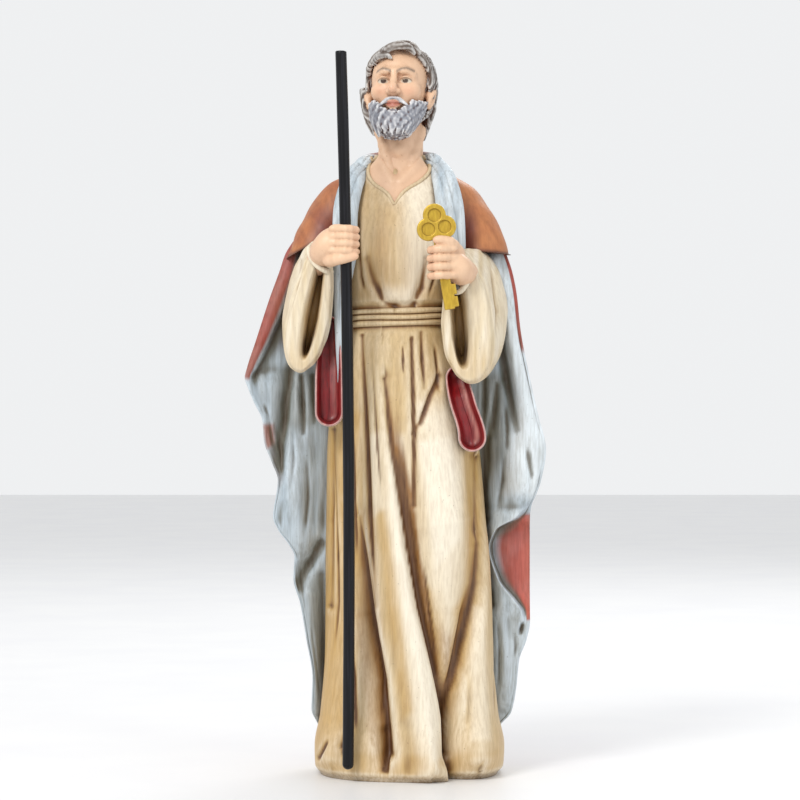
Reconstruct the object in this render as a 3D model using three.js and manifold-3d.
// A painted figure of a bearded saint with a staff and a key. Millimetres, +Z up, the figure faces -Y.
// The figure is one casting. The staff and the key are pieces of their own, held in its two fists.

import * as THREE from 'three';
import { LoftGeometry } from 'three/addons/geometries/LoftGeometry.js';
import { mergeVertices } from 'three/addons/utils/BufferGeometryUtils.js';
import Module from 'manifold-3d';

// Driving dimensions

const FIGURE_HEIGHT = 260;
const FIT_GAP = 0.3;

const STAFF_DIAMETER = 4;
const STAFF_LENGTH = 248.5;
const STAFF_SIDES = 12;

const KEY_LENGTH = 37;
const KEY_THICKNESS = 2.6;
const KEY_STEM_WIDTH = 3.6;
const KEY_LOBE_RADIUS = 4;
const KEY_LOBE_SPREAD = 3.3;
const KEY_LOBE_RISE = 3;
const KEY_BOW_DROP = -7;
const KEY_RECESS_RADIUS = 2.2;
const KEY_RECESS_DEPTH = 0.7;
const KEY_BIT_WIDTH = 1.5;
const KEY_BIT_HEIGHT = 8;
const KEY_BIT_OFFSET = 0.6;

// Free forms are drawn on a figure 260 tall and follow its height

const DRAWN = FIGURE_HEIGHT / 260;

const wasm = await Module();
wasm.setup();

const { clamp, lerp, smoothstep, degToRad } = THREE.MathUtils;

// A point given in drawn sizes

function at(x, y, z) {
	return new THREE.Vector3(x * DRAWN, y * DRAWN, z * DRAWN);
}

// Turns a closed geometry into a solid that can be joined and cut

function solidOf(geometry) {
	const plain = new THREE.BufferGeometry();
	plain.setAttribute('position', geometry.attributes.position);
	plain.setIndex(geometry.index ?? [...Array(geometry.attributes.position.count).keys()]);
	const merged = mergeVertices(plain);
	const vertProperties = new Float32Array(merged.attributes.position.array);
	const triVerts = new Uint32Array(merged.index.array);
	return new wasm.Manifold(new wasm.Mesh({ numProp: 3, vertProperties, triVerts }));
}

// A solid through closed sections, turned so that its faces point out

function loft(sections) {
	const options = { closed: true, capStart: true, capEnd: true };
	const solid = solidOf(new LoftGeometry(sections, options));
	if (solid.volume() > 0) return solid;
	return solidOf(new LoftGeometry(sections.map((section) => [...section].reverse()), options));
}

function join(solids) {
	return solids.reduce((sum, solid) => sum.add(solid));
}

// Reads rows of [place, value, value ...] smoothly, without passing beyond the values of its rows

function reader(rows) {
	const last = rows.length - 1;
	const rise = (i, k) => (rows[i + 1][k] - rows[i][k]) / (rows[i + 1][0] - rows[i][0]);
	const slope = (i, k) => {
		if (i === 0 || i === last) return 0;
		const before = rise(i - 1, k);
		const after = rise(i, k);
		return before * after <= 0 ? 0 : (2 * before * after) / (before + after);
	};
	return (place) => {
		const held = clamp(place, rows[0][0], rows[last][0]);
		let i = 0;
		while (i < last - 1 && held > rows[i + 1][0]) i += 1;
		const span = rows[i + 1][0] - rows[i][0];
		const t = (held - rows[i][0]) / span;
		const t2 = t * t;
		const t3 = t2 * t;
		return rows[i].slice(1).map((value, column) => {
			const k = column + 1;
			const ends = value * (2 * t3 - 3 * t2 + 1) + rows[i + 1][k] * (3 * t2 - 2 * t3);
			return ends + span * (slope(i, k) * (t3 - 2 * t2 + t) + slope(i + 1, k) * (t3 - t2));
		});
	};
}

// Nearest place on a path of [x, z] points: how far beside it (negative to the left) and how far along

function besidePath(path, x, z) {
	let best = Infinity;
	let beside = 0;
	let along = 0;
	for (let i = 0; i < path.length - 1; i += 1) {
		const [x0, z0] = path[i];
		const [dx, dz] = [path[i + 1][0] - x0, path[i + 1][1] - z0];
		const t = clamp(((x - x0) * dx + (z - z0) * dz) / (dx * dx + dz * dz), 0, 1);
		const distance = Math.hypot(x - x0 - t * dx, z - z0 - t * dz);
		if (distance < best) {
			best = distance;
			beside = distance * Math.sign(x - x0 - t * dx);
			along = (i + t) / (path.length - 1);
		}
	}
	return [beside, along];
}

// Height of the folds of cloth at a place seen from the front. A fold has a path, its height at the
// start, middle and end (negative for a groove) and its reach to the left and to the right.

function foldHeight(folds, x, z) {
	let height = 0;
	for (const { path, heights, left, right } of folds) {
		const [beside, along] = besidePath(path, x, z);
		const reach = beside < 0 ? left : right;
		const half = along < 0.5 ? 0 : 1;
		const crest = lerp(heights[half], heights[half + 1], along * 2 - half);
		height += crest * Math.exp(-((beside / reach) ** 2));
	}
	return height;
}

// A rounded limb through points [x, y, z, radius]. Its sections are squashed by flat along the view
// direction, and each end narrows to a tip of this share of its radius.

const DOME_TIP = 0.6;

function limb(points, { sides = 10, steps = 8, flat = 1 } = {}) {
	const curve = new THREE.CatmullRomCurve3(points.map(([x, y, z]) => at(x, y, z)));
	const radii = reader(points.map((point, i) => [i / (points.length - 1), point[3]]));
	const sections = [];
	const section = (t, shrink, push) => {
		const tangent = curve.getTangent(t);
		const across = new THREE.Vector3(0, -1, 0).cross(tangent);
		if (across.length() < 0.2) across.set(0, 0, 1).cross(tangent);
		across.normalize();
		const ahead = new THREE.Vector3().crossVectors(tangent, across);
		const radius = radii(t)[0] * DRAWN;
		const centre = curve.getPoint(t).addScaledVector(tangent, radius * push);
		sections.push(Array.from({ length: sides }, (_, i) => {
			const angle = (2 * Math.PI * i) / sides;
			const point = centre.clone().addScaledVector(across, radius * shrink * Math.cos(angle));
			return point.addScaledVector(ahead, radius * shrink * flat * Math.sin(angle));
		}));
	};
	const dome = Math.sqrt(1 - DOME_TIP * DOME_TIP);
	section(0, DOME_TIP, -dome);
	for (let i = 0; i <= steps; i += 1) section(i / steps, 1, 0);
	section(1, DOME_TIP, dome);
	return loft(sections);
}

// The tunic: outline by height as [z, centre, half width, front, back]

const tunicOutline = reader([
	[0, 4.5, 31.5, 30, 26],
	[3, 4.7, 33.5, 32, 28],
	[10, 4.8, 33.8, 31.5, 28],
	[22, 4.6, 31.5, 29, 27],
	[45, 4.2, 29.5, 27, 25],
	[75, 3.8, 29, 26, 24],
	[110, 2.8, 27.5, 24.5, 22],
	[140, 1, 23.5, 21, 19],
	[156, 0, 19.5, 18, 17],
	[158.5, 0, 18.6, 17.2, 16.5],
	[165.5, 0, 18.6, 17.2, 16.5],
	[168, 0, 19.6, 18.8, 17],
	[176, 0, 20.5, 19, 17.5],
	[190, 0.5, 21, 18, 18],
	[202, 0.8, 20, 15, 18],
	[210, 1, 17, 11.5, 15],
	[216, 1.2, 12, 8.5, 11],
	[220, 1.4, 9, 7.5, 8.5],
]);

const TUNIC_FOLDS = [
	// Long grooves and ridges of the skirt, from left to right
	{ path: [[-22.6, 122], [-24.3, 90], [-23.6, 60]], heights: [-1, -2.5, -1], left: 1.6, right: 2 },
	{ path: [[-19, 60], [-20, 30], [-22, 8]], heights: [0, 1.5, 2.5], left: 5, right: 4 },
	{ path: [[-19, 98], [-17.5, 72]], heights: [0, -1.2, 0], left: 1.4, right: 1.4 },
	{
		path: [[-12, 155], [-10.2, 119], [-9, 90], [-7.3, 61]],
		heights: [-0.6, -1.8, -0.5],
		left: 1.6,
		right: 1.6,
	},
	{
		path: [[-13.5, 91], [-11.8, 77], [-9.7, 58], [-5, 35], [-2.5, 10]],
		heights: [-1, -6, -5],
		left: 4.5,
		right: 1.8,
	},
	{
		path: [[-5, 150], [-1.5, 115], [0, 91], [3, 63], [8, 35], [12, 5]],
		heights: [1, 3, 4.5],
		left: 6,
		right: 4,
	},
	{
		path: [[-3.8, 140], [-1, 118], [2, 98], [4.9, 78], [8.4, 60], [14, 40], [18.6, 22], [20.8, 0]],
		heights: [-1, -5, -8],
		left: 1.7,
		right: 4.5,
	},
	{ path: [[5.6, 154], [6.2, 125], [6.3, 96]], heights: [-0.8, -1.4, -0.5], left: 1.3, right: 1.3 },
	{ path: [[9, 156], [9.9, 137]], heights: [-0.5, -1.2, -0.3], left: 1.3, right: 1.3 },
	{
		path: [[15.3, 141], [11.8, 134], [8.4, 125], [6.2, 121]],
		heights: [-1, -1.5, -0.5],
		left: 1.3,
		right: 2,
	},
	// The forward thigh and knee, the groove right of them and the ridge at the right
	{ path: [[12, 128], [16, 100], [19, 80], [19, 58]], heights: [1, 5, 1], left: 9, right: 8 },
	{
		path: [[28.9, 112], [29.4, 85], [28.4, 68], [25.5, 50], [21.6, 30], [20, 10]],
		heights: [-1.5, -5, -6],
		left: 4.5,
		right: 1.7,
	},
	{ path: [[29.5, 82], [29, 60], [29, 35], [29, 8]], heights: [1, 3, 3], left: 3.5, right: 6 },
	// The hollow at the foot of the middle folds
	{ path: [[-4.5, 17], [-4.2, 5]], heights: [-2, -3, -2], left: 2.5, right: 2.5 },
	// The blouse hanging over the belt
	{
		path: [[-10.5, 182], [-8, 174], [-5, 168], [-1, 166]],
		heights: [-0.6, -1.6, -1.2],
		left: 1.6,
		right: 2.4,
	},
	{ path: [[11, 182], [9.5, 172], [7, 167]], heights: [-0.6, -1.6, -1.2], left: 2.4, right: 1.6 },
];

const TUNIC_FRONT_COLUMNS = 34;
const TUNIC_BACK_COLUMNS = 4;
const TUNIC_FRONT_REACH = degToRad(108);
const TUNIC_FULLNESS = 0.9;
const SKIRT_ROWS = [0, 2.5, 8, 16, 26, 37, 48, 59, 70, 81, 92, 104, 116, 128, 140, 149, 156];
const BLOUSE_ROWS = [168, 175, 184, 194, 203, 210, 216, 220];
const BELT_LOW = 158.6;
const BELT_CORD_HEIGHT = 2.2;
const BELT_CORDS = 3;
const BELT_CORD_SWELL = 1.2;
const BELT_RISE = 0.035;

function tunicRing(z, swell = 0, slope = 0) {
	const angles = [];
	for (let i = 0; i <= TUNIC_FRONT_COLUMNS; i += 1) {
		angles.push(TUNIC_FRONT_REACH * ((2 * i) / TUNIC_FRONT_COLUMNS - 1));
	}
	for (let i = 1; i < TUNIC_BACK_COLUMNS; i += 1) {
		angles.push(lerp(TUNIC_FRONT_REACH, 2 * Math.PI - TUNIC_FRONT_REACH, i / TUNIC_BACK_COLUMNS));
	}
	const [centre, half, front, back] = tunicOutline(z);
	return angles.map((angle) => {
		const side = Math.sin(angle);
		const ahead = Math.cos(angle);
		const x = centre + half * Math.sign(side) * Math.abs(side) ** TUNIC_FULLNESS;
		const reach = ahead > 0 ? front : back;
		const y = -reach * Math.sign(ahead) * Math.abs(ahead) ** TUNIC_FULLNESS;
		const height = swell + foldHeight(TUNIC_FOLDS, x, z) * smoothstep(ahead, -0.05, 0.3);
		return at(x + side * height, y - ahead * height, z + slope * x);
	});
}

function makeTunic() {
	const rings = SKIRT_ROWS.map((z) => tunicRing(z));
	const steps = BELT_CORDS * 2;
	for (let i = 0; i <= steps; i += 1) {
		const z = BELT_LOW + (BELT_CORD_HEIGHT / 2) * i;
		rings.push(tunicRing(z, i % 2 === 1 ? BELT_CORD_SWELL : 0, BELT_RISE));
	}
	rings.push(...BLOUSE_ROWS.map((z) => tunicRing(z)));
	return loft(rings);
}

// Depth of the tunic's plain front at a place seen from the front

function tunicFront(x, z) {
	const [centre, half, front] = tunicOutline(z);
	const side = Math.min(1, Math.abs(x - centre) / half) ** (1 / TUNIC_FULLNESS);
	return -front * Math.sqrt(1 - side * side) ** TUNIC_FULLNESS;
}

// Raised rim of the neck opening, both sides of the V, through points [x, z, radius] on the tunic

const COLLAR_PROUD = 0.25;

function makeCollar() {
	const sides = [
		[[-8.6, 217.6, 0.9], [-9.8, 212.5, 1], [-7.8, 209, 1], [-3, 204.6, 1], [-0.7, 201, 1]],
		[[11.4, 217.8, 0.9], [11.8, 213.8, 1], [9.4, 210.8, 1], [2.8, 205.4, 1], [-0.7, 201, 1]],
	];
	return join(sides.map((points) => {
		const placed = points.map(([x, z, radius]) => [x, tunicFront(x, z) - COLLAR_PROUD, z, radius]);
		return limb(placed, { sides: 5, steps: 5 });
	}));
}

// The cloak: by height, [z, silhouette, edge of the lining, depth of the silhouette, step behind the edge]

const cloakLeft = reader([
	[14.4, -27.6, -27, 5, 0],
	[22, -30.3, -29.4, 3, 0],
	[33, -29.9, -29, 2, 0],
	[47, -32, -31, 0, 0],
	[60, -34.2, -33.2, -1, 0],
	[69, -36.6, -35.6, -2, 0],
	[77, -36.2, -35.2, -3, 0],
	[81, -38, -37, -4, 0],
	[86.5, -41.9, -41, -5, 0],
	[91, -43.7, -42.8, -5, 0],
	[104, -42, -41, -5, 0],
	[111, -44.4, -43.2, -5, 0],
	[118, -46.9, -45.5, -5.5, 0],
	[125, -47.4, -46, -6, 0],
	[132, -50.5, -49, -7, 0],
	[137, -52.5, -51, -8, 0.5],
	[140.5, -53.6, -51.5, -8, 1.5],
	[144, -52.8, -50, -8, 3],
	[154, -49.6, -45.2, -7, 3.5],
	[168.5, -45, -39.2, -5, 3.5],
	[179, -41.3, -36, -3, 2],
	[184.3, -39.6, -35, -2, 1],
	[190, -36.2, -32.6, 0, 0],
	[199.5, -29, -27, 2, 0],
	[206, -23, -21, 3, 0],
	[212, -15, -13.5, 4, 0],
	[219, -9, -8, 6, 0],
]);

const cloakRight = reader([
	[14.4, 36, 35, 5, 0],
	[16.5, 37.6, 36.5, 4, 0],
	[20.8, 41.2, 40, 3, 0],
	[30, 43, 41.8, 1, 0],
	[40, 44, 42.8, 0, 0],
	[47, 46.5, 45, -1, 0],
	[54, 47.8, 46.4, -1, -1],
	[57, 47.8, 46, 0, -3],
	[61, 47.8, 43.6, 1, -5],
	[68.7, 47.8, 37.8, 2, -6],
	[80, 47.8, 34.6, 2, -6],
	[86.5, 47.8, 37, 2, -6],
	[91, 47.8, 44, 0, -5],
	[95, 48.2, 47, -3, -1],
	[99, 49.8, 48.8, -5, 0],
	[104, 51.5, 50.2, -6, 0],
	[115, 53.2, 51.8, -7, 0],
	[127, 50.5, 49, -7, 0],
	[140, 47.6, 46.2, -6.5, 0],
	[157.5, 44.2, 42.8, -6, 0],
	[170, 42.9, 41.5, -5, 0],
	[178, 41.4, 40, -3.5, 0],
	[184.5, 39.3, 38, -2, 0],
	[190, 36.9, 35.5, 0, 0],
	[197, 33, 31.5, 1, 0],
	[206, 26, 24.5, 3, 0],
	[212, 18, 16.5, 4, 0],
	[219, 12, 11, 6, 0],
]);

// The middle of the back of the cloak: by height, [z, depth]

const cloakBack = reader([
	[14.4, 30],
	[40, 31.5],
	[100, 33.5],
	[150, 33],
	[180, 30.5],
	[196, 26],
	[206, 20],
	[212, 15],
	[219, 11],
]);

const CLOAK_FOLDS = [
	// Left: shadow beside the falling band, narrow grooves, the big fold, the step below it, the lower fold
	{
		path: [[-36, 150], [-38.8, 134], [-40.5, 118], [-41.5, 105]],
		heights: [-1, -3.5, -1],
		left: 2.5,
		right: 2,
	},
	{ path: [[-33.5, 141], [-32.8, 121]], heights: [-1, -2, -0.5], left: 1.3, right: 1.3 },
	{ path: [[-29.5, 141], [-29, 125]], heights: [-1, -1.6, -0.5], left: 1.3, right: 1.3 },
	{ path: [[-36, 116], [-36, 98], [-34, 84]], heights: [1, 3.5, 2], left: 6, right: 5 },
	{ path: [[-27.5, 81], [-31, 74], [-34.5, 66]], heights: [-2, -3, -1], left: 2.5, right: 2.5 },
	{ path: [[-31, 62], [-29.5, 40], [-28.5, 22]], heights: [1, 2, 1], left: 3, right: 3 },
	{ path: [[-26.5, 70], [-25.5, 40], [-25, 20]], heights: [-1, -3, -2], left: 2, right: 2 },
	// Right: the turned band, the dark groove beside it, narrow grooves, the big fold, the lower folds
	{ path: [[33.4, 181], [39, 158], [44, 136], [47, 118]], heights: [2, 3.5, 1], left: 3.5, right: 4 },
	{
		path: [[33.4, 178], [36.9, 161], [39.7, 140], [41.2, 133], [43.3, 122]],
		heights: [-2, -4, -1],
		left: 2.5,
		right: 1.8,
	},
	{ path: [[31.5, 140], [31.5, 122]], heights: [-1, -1.8, -0.5], left: 1.4, right: 1.4 },
	{ path: [[36, 138], [34.5, 120]], heights: [-1, -1.8, -0.5], left: 1.5, right: 1.5 },
	{ path: [[42, 118], [44, 104], [41, 92]], heights: [1.5, 3.5, 2], left: 6, right: 6 },
	{ path: [[31.5, 118], [31.5, 85], [34, 60]], heights: [-2, -3.5, -2], left: 2.2, right: 2.2 },
	{ path: [[37, 60], [38.5, 40], [39, 25]], heights: [1, 2, 1], left: 3, right: 3 },
];

const CLOAK_ROWS = [
	14.4, 22, 33, 44, 54, 61, 68, 74, 80, 86, 92, 98, 106, 115, 124, 132, 140, 152, 165, 178, 190, 200, 210,
	219,
];
const CLOAK_BACK_COLUMNS = 17;
const CLOAK_BAND_COLUMNS = 2;
const CLOAK_FACE_COLUMNS = 6;
const CLOAK_INNER_DEPTH = 3;
const CLOAK_INNER_SHARE = 0.72;
const CLOAK_ROUNDNESS = 0.72;
const BACK_FOLD_HEIGHT = 7;
const BACK_FOLD_COUNT = 5;
const BACK_FOLD_SWAY = 0.006;
const BACK_FOLD_FULLNESS = 0.8;

// Points on one front side of the cloak, from its silhouette to where it goes in behind the tunic

function cloakFace(z, [silhouette, edge, depth, step], inner) {
	const points = [];
	for (let i = 1; i <= CLOAK_BAND_COLUMNS; i += 1) {
		points.push([lerp(silhouette, edge, (i - 0.3) / CLOAK_BAND_COLUMNS), depth]);
	}
	for (let i = 0; i <= CLOAK_FACE_COLUMNS; i += 1) {
		const share = i / CLOAK_FACE_COLUMNS;
		const x = lerp(edge, inner, share);
		const rest = lerp(depth + step, CLOAK_INNER_DEPTH, share);
		points.push([x, rest - foldHeight(CLOAK_FOLDS, x, z)]);
	}
	return points;
}

function cloakRing(z) {
	const left = cloakLeft(z);
	const right = cloakRight(z);
	const [back] = cloakBack(z);
	const [centre, half] = tunicOutline(z);
	const points = [];
	for (let i = 0; i <= CLOAK_BACK_COLUMNS; i += 1) {
		const share = i / CLOAK_BACK_COLUMNS;
		const turn = Math.PI * share;
		const start = lerp(right[2], left[2], share);
		const swell = Math.abs(Math.sin(turn * BACK_FOLD_COUNT + BACK_FOLD_SWAY * z)) ** BACK_FOLD_FULLNESS;
		const folded = BACK_FOLD_HEIGHT * (swell - 0.5) * Math.sin(turn) * (1 - smoothstep(z, 130, 212));
		const x = (right[0] + left[0]) / 2 + ((right[0] - left[0]) / 2) * Math.cos(turn);
		points.push([x, start + (back - start) * Math.sin(turn) ** CLOAK_ROUNDNESS + folded]);
	}
	points.push(...cloakFace(z, left, centre - half * CLOAK_INNER_SHARE));
	points.push(...cloakFace(z, right, centre + half * CLOAK_INNER_SHARE).reverse());
	return points.map(([x, y]) => at(x, y, z));
}

// Cuts off what lies below a line across the front, given as two points [x, z] from right to left

function cutBelow(solid, [right, left]) {
	const along = new THREE.Vector2(right[0] - left[0], right[1] - left[1]).normalize();
	const offset = (along.x * right[1] - along.y * right[0]) * DRAWN;
	return solid.trimByPlane([-along.y, 0, along.x], offset);
}

function makeCloak() {
	const body = loft(CLOAK_ROWS.map(cloakRing));
	const arms = [
		{
			points: [[-13, 3, 206, 8.5], [-20, 3, 201, 9.3], [-25.5, 1, 191, 9.7], [-30, -2, 181, 9]],
			hem: [[-25.2, 190.1], [-38.7, 183]],
		},
		{
			points: [[15, 3, 206, 8.5], [22, 3, 201, 9.3], [28, 1, 191, 9.7], [32, -2, 180, 9]],
			hem: [[36.9, 184.6], [23.4, 185.6]],
		},
	];
	const lapels = [
		[
			[-11.5, -1, 216, 3.4], [-15, -10, 210.5, 4], [-17.6, -14.5, 200, 4.4], [-18, -16, 186, 4.4],
			[-19.2, -18, 170, 2.9], [-19.4, -19.5, 150, 1.7], [-19.4, -20, 139, 1.1],
		],
		[
			[13.5, -1, 217, 3.4], [16.8, -9.5, 211, 4.2], [19, -14, 200, 4.9], [19.6, -15.5, 188, 4.9],
			[19.5, -17, 174, 4],
		],
	];
	const collar = [
		[-11.5, -1, 216, 3.4], [-9, 7.5, 218, 3.2], [1.4, 11.5, 219.5, 3.2], [11.5, 7.5, 218.5, 3.2],
		[13.5, -1, 217, 3.4],
	];
	return join([
		body,
		...arms.map(({ points, hem }) => cutBelow(limb(points, { sides: 9, steps: 4 }), hem)),
		...lapels.map((points) => limb(points, { sides: 6, steps: 7, flat: 0.5 })),
		limb(collar, { sides: 6, steps: 7 }),
	]);
}

// A ring of the wide sleeve, upright across the forearm: rounder below than above and leaning outward

const SLEEVE_PEAR = 0.22;
const SLEEVE_SIDES = 14;

function sleeveRing({ x, y, top, bottom, half, lean }) {
	const middle = (top + bottom) / 2;
	const tall = (top - bottom) / 2;
	return Array.from({ length: SLEEVE_SIDES }, (_, i) => {
		const angle = (2 * Math.PI * i) / SLEEVE_SIDES;
		const up = Math.sin(angle);
		const width = half * (1 - SLEEVE_PEAR * up) * Math.cos(angle);
		return at(x + width + lean * up, y, middle + tall * up);
	});
}

function makeSleeves() {
	const left = loft([
		sleeveRing({ x: -31, y: 3, top: 186, bottom: 166, half: 5, lean: 0 }),
		sleeveRing({ x: -31, y: -8, top: 188, bottom: 155, half: 7.5, lean: 1.5 }),
		sleeveRing({ x: -30.6, y: -14, top: 189, bottom: 146, half: 8.3, lean: 2.8 }),
		sleeveRing({ x: -30, y: -20, top: 188.5, bottom: 142.5, half: 8, lean: 3.6 }),
		sleeveRing({ x: -29.8, y: -24, top: 187.5, bottom: 142.2, half: 7.6, lean: 3.8 }),
		sleeveRing({ x: -29.8, y: -25.6, top: 186, bottom: 143.6, half: 6.2, lean: 3.8 }),
	]);
	const leftHollow = loft([
		sleeveRing({ x: -28.6, y: -15, top: 179, bottom: 151, half: 1, lean: 2.8 }),
		sleeveRing({ x: -28.7, y: -21, top: 181.5, bottom: 148.5, half: 1.7, lean: 3 }),
		sleeveRing({ x: -29.1, y: -27, top: 184.5, bottom: 146, half: 3.4, lean: 3.5 }),
	]);
	const right = loft([
		sleeveRing({ x: 33, y: 3, top: 183, bottom: 164, half: 5, lean: 0 }),
		sleeveRing({ x: 30.5, y: -8, top: 186, bottom: 152, half: 8.5, lean: -1.5 }),
		sleeveRing({ x: 27.5, y: -14, top: 186, bottom: 142, half: 9.8, lean: -1.8 }),
		sleeveRing({ x: 25.5, y: -20, top: 185, bottom: 138.5, half: 9.6, lean: -1.6 }),
		sleeveRing({ x: 25, y: -24, top: 184, bottom: 138.2, half: 9, lean: -1.4 }),
		sleeveRing({ x: 24.6, y: -25.8, top: 182, bottom: 140, half: 7.2, lean: -1.2 }),
	]);
	const rightHollow = loft([
		sleeveRing({ x: 22.2, y: -15, top: 174, bottom: 148.5, half: 1, lean: -1 }),
		sleeveRing({ x: 21.9, y: -21, top: 177.5, bottom: 145.5, half: 2, lean: -1.2 }),
		sleeveRing({ x: 22.6, y: -27, top: 180.5, bottom: 142.6, half: 4, lean: -1.4 }),
	]);
	return join([left.subtract(leftHollow), right.subtract(rightHollow)]);
}

// Two hanging turns of the cloak with hollow fronts

function makeLoops() {
	const turns = [
		{
			outside: [[-23.4, -15, 158, 4], [-23.4, -18.5, 141, 4.9], [-23.3, -20.5, 128.3, 5]],
			inside: [[-23.4, -18, 160, 2.8], [-23.4, -21.8, 141, 3.8], [-23.3, -23.8, 128.6, 3.9]],
		},
		{
			outside: [[21.4, -15, 145, 4], [23.2, -18.5, 133, 4.6], [26.6, -20.5, 119.4, 4.9]],
			inside: [[21.2, -18, 147, 2.8], [23, -21.8, 133, 3.6], [26.3, -23.8, 119.8, 3.8]],
		},
	];
	return join(turns.map(({ outside, inside }) => {
		return limb(outside, { sides: 9, steps: 3 }).subtract(limb(inside, { sides: 7, steps: 2 }));
	}));
}

// The head, drawn about the middle of the skull and then set at its tilt and turn. Its face is a plain,
// calm one of general proportions. Rows are [z, half width, front, back].

const headOutline = reader([
	[-17.6, 2.5, -12.5, -8.5],
	[-16, 5.4, -14.6, -5],
	[-13, 7.8, -15.2, -1],
	[-9, 9.2, -14.4, 6],
	[-5, 9.8, -13.6, 8.5],
	[0, 10.2, -13.2, 10.6],
	[5, 10.4, -13.2, 11.4],
	[9, 10, -12.4, 10.8],
	[12.5, 8.4, -10.6, 9],
	[15.2, 5.8, -7.6, 6.4],
	[16.6, 3.4, -4.4, 3.6],
	[17.3, 1.5, -2, 1.6],
]);

// Thickness of the hair by height, at the sides and at the brow

const hairThickness = reader([
	[-13, 0, 0],
	[-9, 1, 0],
	[-4, 3, 0],
	[0, 3.9, 0],
	[3, 3.7, 0],
	[7, 2.6, 0],
	[10, 2, 0.4],
	[12.5, 1.6, 1.2],
	[16, 0.8, 0.8],
	[17.3, 0.4, 0.4],
]);

// Bumps of the head as [x, z, reach across, reach up, height]

const FACE_BUMPS = [
	[0, -1.2, 1.5, 2.6, 2.6],
	[0, 2.6, 1.2, 3, 1.2],
	[-4.1, 2.2, 2.3, 1.5, -1.6],
	[4.1, 2.2, 2.3, 1.5, -1.6],
	[-4.1, 2, 1.6, 1, 0.8],
	[4.1, 2, 1.6, 1, 0.8],
	[0, 5.2, 7.5, 1.2, 0.7],
	[0, -5.4, 4.2, 1, 1.3],
	[0, -7.9, 1.8, 0.6, 0.7],
	[0, -11.5, 6, 3, 0.8],
];

const HEAD_ROWS = [
	-17.6, -16.2, -14, -11.5, -9.2, -7.6, -5.6, -3.4, -1.2, 0.8, 2.6, 4.6, 6.6, 9, 11.8, 14.2, 16, 17.3,
];
const HEAD_COLUMNS = 22;
const HEAD_CROWDING = 0.025;
const HEAD_CENTRE = [1.4, -0.5, 242.2];
const HEAD_TILT = degToRad(-8);
const HEAD_TURN = degToRad(-10);
const HAIR_WAVE = 0.14;
const HAIR_WAVES = 9;
const HAIR_SLANT = 0.5;

function makeHead() {
	const turn = new THREE.Euler(HEAD_TILT, 0, HEAD_TURN, 'ZXY');
	const place = (x, y, z) => {
		const point = new THREE.Vector3(x, y, z).applyEuler(turn);
		return at(point.x + HEAD_CENTRE[0], point.y + HEAD_CENTRE[1], point.z + HEAD_CENTRE[2]);
	};
	const ring = (z) => Array.from({ length: HEAD_COLUMNS }, (_, i) => {
		const share = i / HEAD_COLUMNS;
		const angle = 2 * Math.PI * (share + HEAD_CROWDING * Math.sin(4 * Math.PI * share) - 0.5);
		const side = Math.sin(angle);
		const ahead = Math.cos(angle);
		const [half, front, back] = headOutline(z);
		const x = half * side;
		const y = (front + back) / 2 - ((back - front) / 2) * ahead;
		const [sideHair, browHair] = hairThickness(z);
		const haired = 1 - smoothstep(ahead, 0.1, 0.5);
		const wave = 1 + HAIR_WAVE * Math.sin(HAIR_WAVES * angle + HAIR_SLANT * z);
		let height = lerp(browHair, sideHair * wave, haired);
		for (const [bumpX, bumpZ, across, up, bump] of FACE_BUMPS) {
			const fall = ((x - bumpX) / across) ** 2 + ((z - bumpZ) / up) ** 2;
			height += bump * Math.exp(-fall) * smoothstep(ahead, 0, 0.4);
		}
		return place(x + side * height, y - ahead * height, z);
	});
	const skull = loft(HEAD_ROWS.map(ring));
	const locks = [
		[[-3, -9, 256, 2.6], [2.4, -10.6, 258, 2.5], [6.4, -8, 255.6, 2.3]],
		[[-9.6, 0, 236, 2.6], [-9.4, -1.4, 231.5, 2.4], [-7.6, -2, 227, 1.9]],
		[[12.6, 2, 237, 2.8], [12.4, 1, 231, 2.8], [10.4, 0.6, 226, 2.2]],
	];
	const ear = [[12, -3.4, 239.5, 1.5], [12.9, -3, 237.5, 1.7], [12, -3.4, 234.8, 1.2]];
	const neck = [[1.8, 2, 207, 9], [1.8, 0.6, 216, 7.8], [1.6, 0, 230, 7.4]];
	return join([
		skull,
		limb(neck, { sides: 10, steps: 2 }),
		limb(ear, { sides: 6, steps: 3, flat: 0.8 }),
		...locks.map((points) => limb(points, { sides: 6, steps: 3 })),
	]);
}

// The staff is a thin bowed rod. Its foot stands in the hem and it leans a little to the left above.

const STAFF_FOOT = [-16.6, -31.4, 4.7];
const STAFF_BOW = [2.85, -5.65];
const STAFF_FORWARD = -1.6;

function staffPoint(height) {
	const share = height / FIGURE_HEIGHT;
	const x = STAFF_FOOT[0] + STAFF_BOW[0] * share + STAFF_BOW[1] * share * share;
	return at(x, STAFF_FOOT[1] + STAFF_FORWARD * share, STAFF_FOOT[2]).add(new THREE.Vector3(0, 0, height));
}

function staffRod(radius, from, to, steps = 9) {
	return loft(Array.from({ length: steps + 1 }, (_, row) => {
		const centre = staffPoint(lerp(from, to, row / steps));
		return Array.from({ length: STAFF_SIDES }, (_side, i) => {
			const angle = (2 * Math.PI * i) / STAFF_SIDES;
			return centre.clone().add(new THREE.Vector3(radius * Math.cos(angle), radius * Math.sin(angle), 0));
		});
	}));
}

// The key lies flat to the front: a trefoil bow, a stem that tapers into the fist and a bit below it

const KEY_TOP = [12.6, -32.6, 200.4];
const KEY_LEAN = degToRad(9.5);

function keyShape(points) {
	return new THREE.Shape(points.map(([x, y]) => new THREE.Vector2(x, y)));
}

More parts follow.
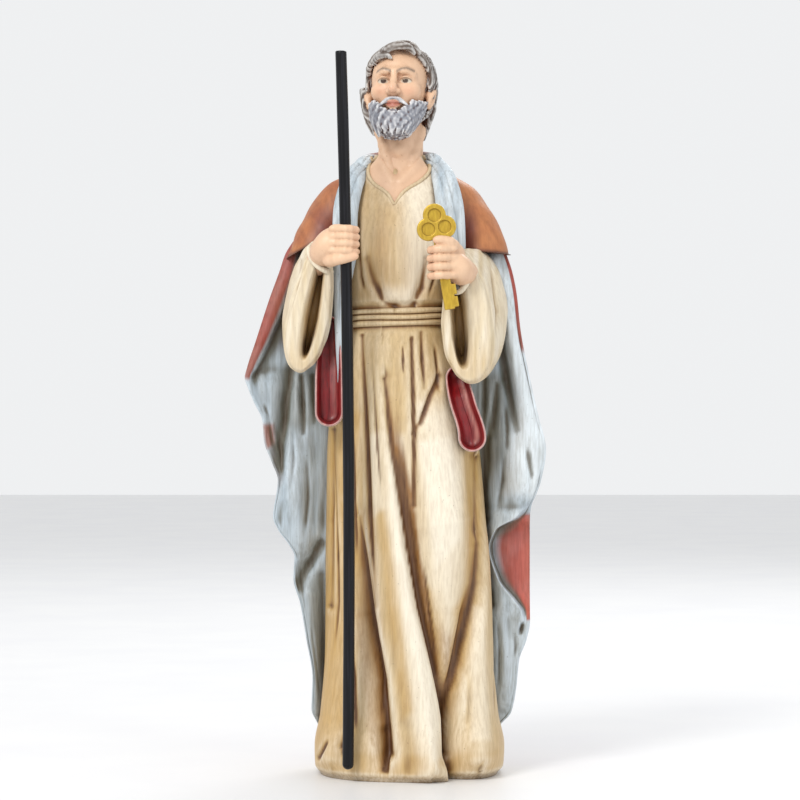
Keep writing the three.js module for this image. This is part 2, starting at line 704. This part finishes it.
function keyPlate(shape, thickness, grow = 0) {
	const geometry = new THREE.ExtrudeGeometry(shape, {
		depth: thickness + 2 * grow,
		bevelEnabled: false,
		curveSegments: 7,
	});
	geometry.translate(0, 0, -(thickness / 2 + grow));
	geometry.rotateX(Math.PI / 2);
	geometry.rotateY(-KEY_LEAN);
	const top = at(...KEY_TOP);
	geometry.translate(top.x, top.y, top.z);
	return solidOf(geometry);
}

// The centres of the three lobes, drawn down from the top of the key

function lobeCentres() {
	return [90, 210, 330].map((angle) => {
		const turn = degToRad(angle);
		return [KEY_LOBE_SPREAD * Math.cos(turn), KEY_BOW_DROP + KEY_LOBE_RISE * Math.sin(turn)];
	});
}

function disc([x, y], radius) {
	const shape = new THREE.Shape();
	shape.absarc(x, y, radius, 0, 2 * Math.PI);
	return shape;
}

function bar(left, right, low, high) {
	return keyShape([[left, low], [right, low], [right, high], [left, high]]);
}

// The key without its recesses, grown on all sides where it stands for the room that the key needs

function keyBlank(grow) {
	const half = KEY_STEM_WIDTH / 2 + grow;
	const bitLow = -KEY_LENGTH + KEY_BIT_OFFSET;
	return join([
		...lobeCentres().map((lobe) => keyPlate(disc(lobe, KEY_LOBE_RADIUS + grow), KEY_THICKNESS, grow)),
		keyPlate(bar(-half, half, -KEY_LENGTH - grow, -2 * KEY_LOBE_RADIUS), KEY_THICKNESS, grow),
		keyPlate(bar(0, half + KEY_BIT_WIDTH, bitLow - grow, bitLow + KEY_BIT_HEIGHT + grow), KEY_THICKNESS, grow),
	]);
}

function makeKey() {
	const lobes = lobeCentres();
	const web = KEY_THICKNESS - 2 * KEY_RECESS_DEPTH;
	const recesses = lobes.map((lobe) => {
		const through = keyPlate(disc(lobe, KEY_RECESS_RADIUS), KEY_THICKNESS + 1);
		return through.subtract(keyPlate(disc(lobe, KEY_RECESS_RADIUS + 1), web));
	});
	return keyBlank(0).subtract(join(recesses));
}

// A fist closed round an upright rod: the palm behind, four fingers in front and the thumb below.
// Side is -1 where the arm comes from the left and 1 where it comes from the right.

const FINGER_DROOP = 0.13;
const FINGER_TAPER = 0.035;
const STAFF_GRIP_HEIGHT = 180;
const STAFF_FINGER_DEPTH = 1.35;
const KEY_GRIP_PLACE = 15.3;
const KEY_FINGER_DEPTH = 1.5;

function makeFist({ axis, side, wrist, grip, finger, top, pitch, thumb }) {
	const [axisX, axisY] = axis;
	const turns = [-35, 10, 55, 100, 145, 190].map(degToRad);
	const fingers = [0, 1, 2, 3].map((i) => {
		const z = top - pitch * i;
		const points = turns.map((turn, k) => {
			const x = axisX + side * grip * Math.cos(turn);
			return [x, axisY - grip * Math.sin(turn), z - FINGER_DROOP * k, finger * (1 - FINGER_TAPER * k)];
		});
		return limb(points, { sides: 6, steps: 4 });
	});
	const low = top - 3.4 * pitch;
	const palm = [
		wrist,
		[axisX + side * (grip + 3.4), axisY + 3, (top + low) / 2 - 2.6, 5.4],
		[axisX + side * (grip - 0.4), axisY + 2.6, (top + low) / 2 + 0.4, 5],
		[axisX - side * 0.8, axisY + 3.6, (top + low) / 2 + 0.4, 4],
	];
	return join([
		...fingers,
		limb(palm, { sides: 8, steps: 3 }),
		limb(thumb, { sides: 6, steps: 3 }),
	]);
}

function makeHands() {
	const staffInFist = staffPoint(STAFF_GRIP_HEIGHT * DRAWN).divideScalar(DRAWN);
	const rightHand = makeFist({
		axis: [staffInFist.x, staffInFist.y],
		side: -1,
		wrist: [-27.4, -18.5, 180.3, 4.6],
		grip: STAFF_DIAMETER / 2 / DRAWN + STAFF_FINGER_DEPTH,
		finger: 1.45,
		top: 192,
		pitch: 2.5,
		thumb: [[-23, -30.5, 181, 2.4], [-18.8, -34.8, 181.4, 1.9], [-15, -35, 182.2, 1.6]],
	});
	const leftHand = makeFist({
		axis: [KEY_GRIP_PLACE, KEY_TOP[1]],
		side: 1,
		wrist: [25, -20, 176.2, 4.6],
		grip: KEY_STEM_WIDTH / 2 / DRAWN + KEY_FINGER_DEPTH,
		finger: 1.6,
		top: 185,
		pitch: 3,
		thumb: [[21.5, -28.5, 183.5, 2.5], [18.6, -33, 187.2, 1.9], [13.8, -34.6, 187.8, 1.5]],
	});
	return join([rightHand, leftHand]);
}

// The casting, with the holes that the staff and the key pass through

function makeFigure() {
	const body = join([
		makeTunic(),
		makeCollar(),
		makeCloak(),
		makeSleeves(),
		makeLoops(),
		makeHead(),
		makeHands(),
	]);
	const staffHole = staffRod(STAFF_DIAMETER / 2 + FIT_GAP, -FIT_GAP, STAFF_LENGTH + STAFF_DIAMETER);
	return body.subtract(staffHole).subtract(keyBlank(FIT_GAP));
}

// Meshes and the finished group

function meshOf(name, solid, material) {
	const { vertProperties, triVerts } = solid.getMesh();
	const geometry = new THREE.BufferGeometry();
	geometry.setAttribute('position', new THREE.BufferAttribute(new Float32Array(vertProperties), 3));
	geometry.setIndex(new THREE.BufferAttribute(new Uint32Array(triVerts), 1));
	geometry.computeVertexNormals();
	const mesh = new THREE.Mesh(geometry, new THREE.MeshStandardMaterial(material));
	mesh.name = name;
	return mesh;
}

const PAINTED_RESIN = { color: 0xd8c096, roughness: 0.55, metalness: 0 };
const BLACK_ROD = { color: 0x1c1c20, roughness: 0.4, metalness: 0 };
const GILT_METAL = { color: 0xc79c35, roughness: 0.35, metalness: 0.6 };

const statue = new THREE.Group();
statue.add(meshOf('figure', makeFigure(), PAINTED_RESIN));
statue.add(meshOf('staff', staffRod(STAFF_DIAMETER / 2, 0, STAFF_LENGTH), BLACK_ROD));
statue.add(meshOf('key', makeKey(), GILT_METAL));

// The origin is under the middle of the statue

const box = new THREE.Box3().setFromObject(statue);
const middle = box.getCenter(new THREE.Vector3());
statue.position.set(-middle.x, -middle.y, -box.min.z);

export default statue;
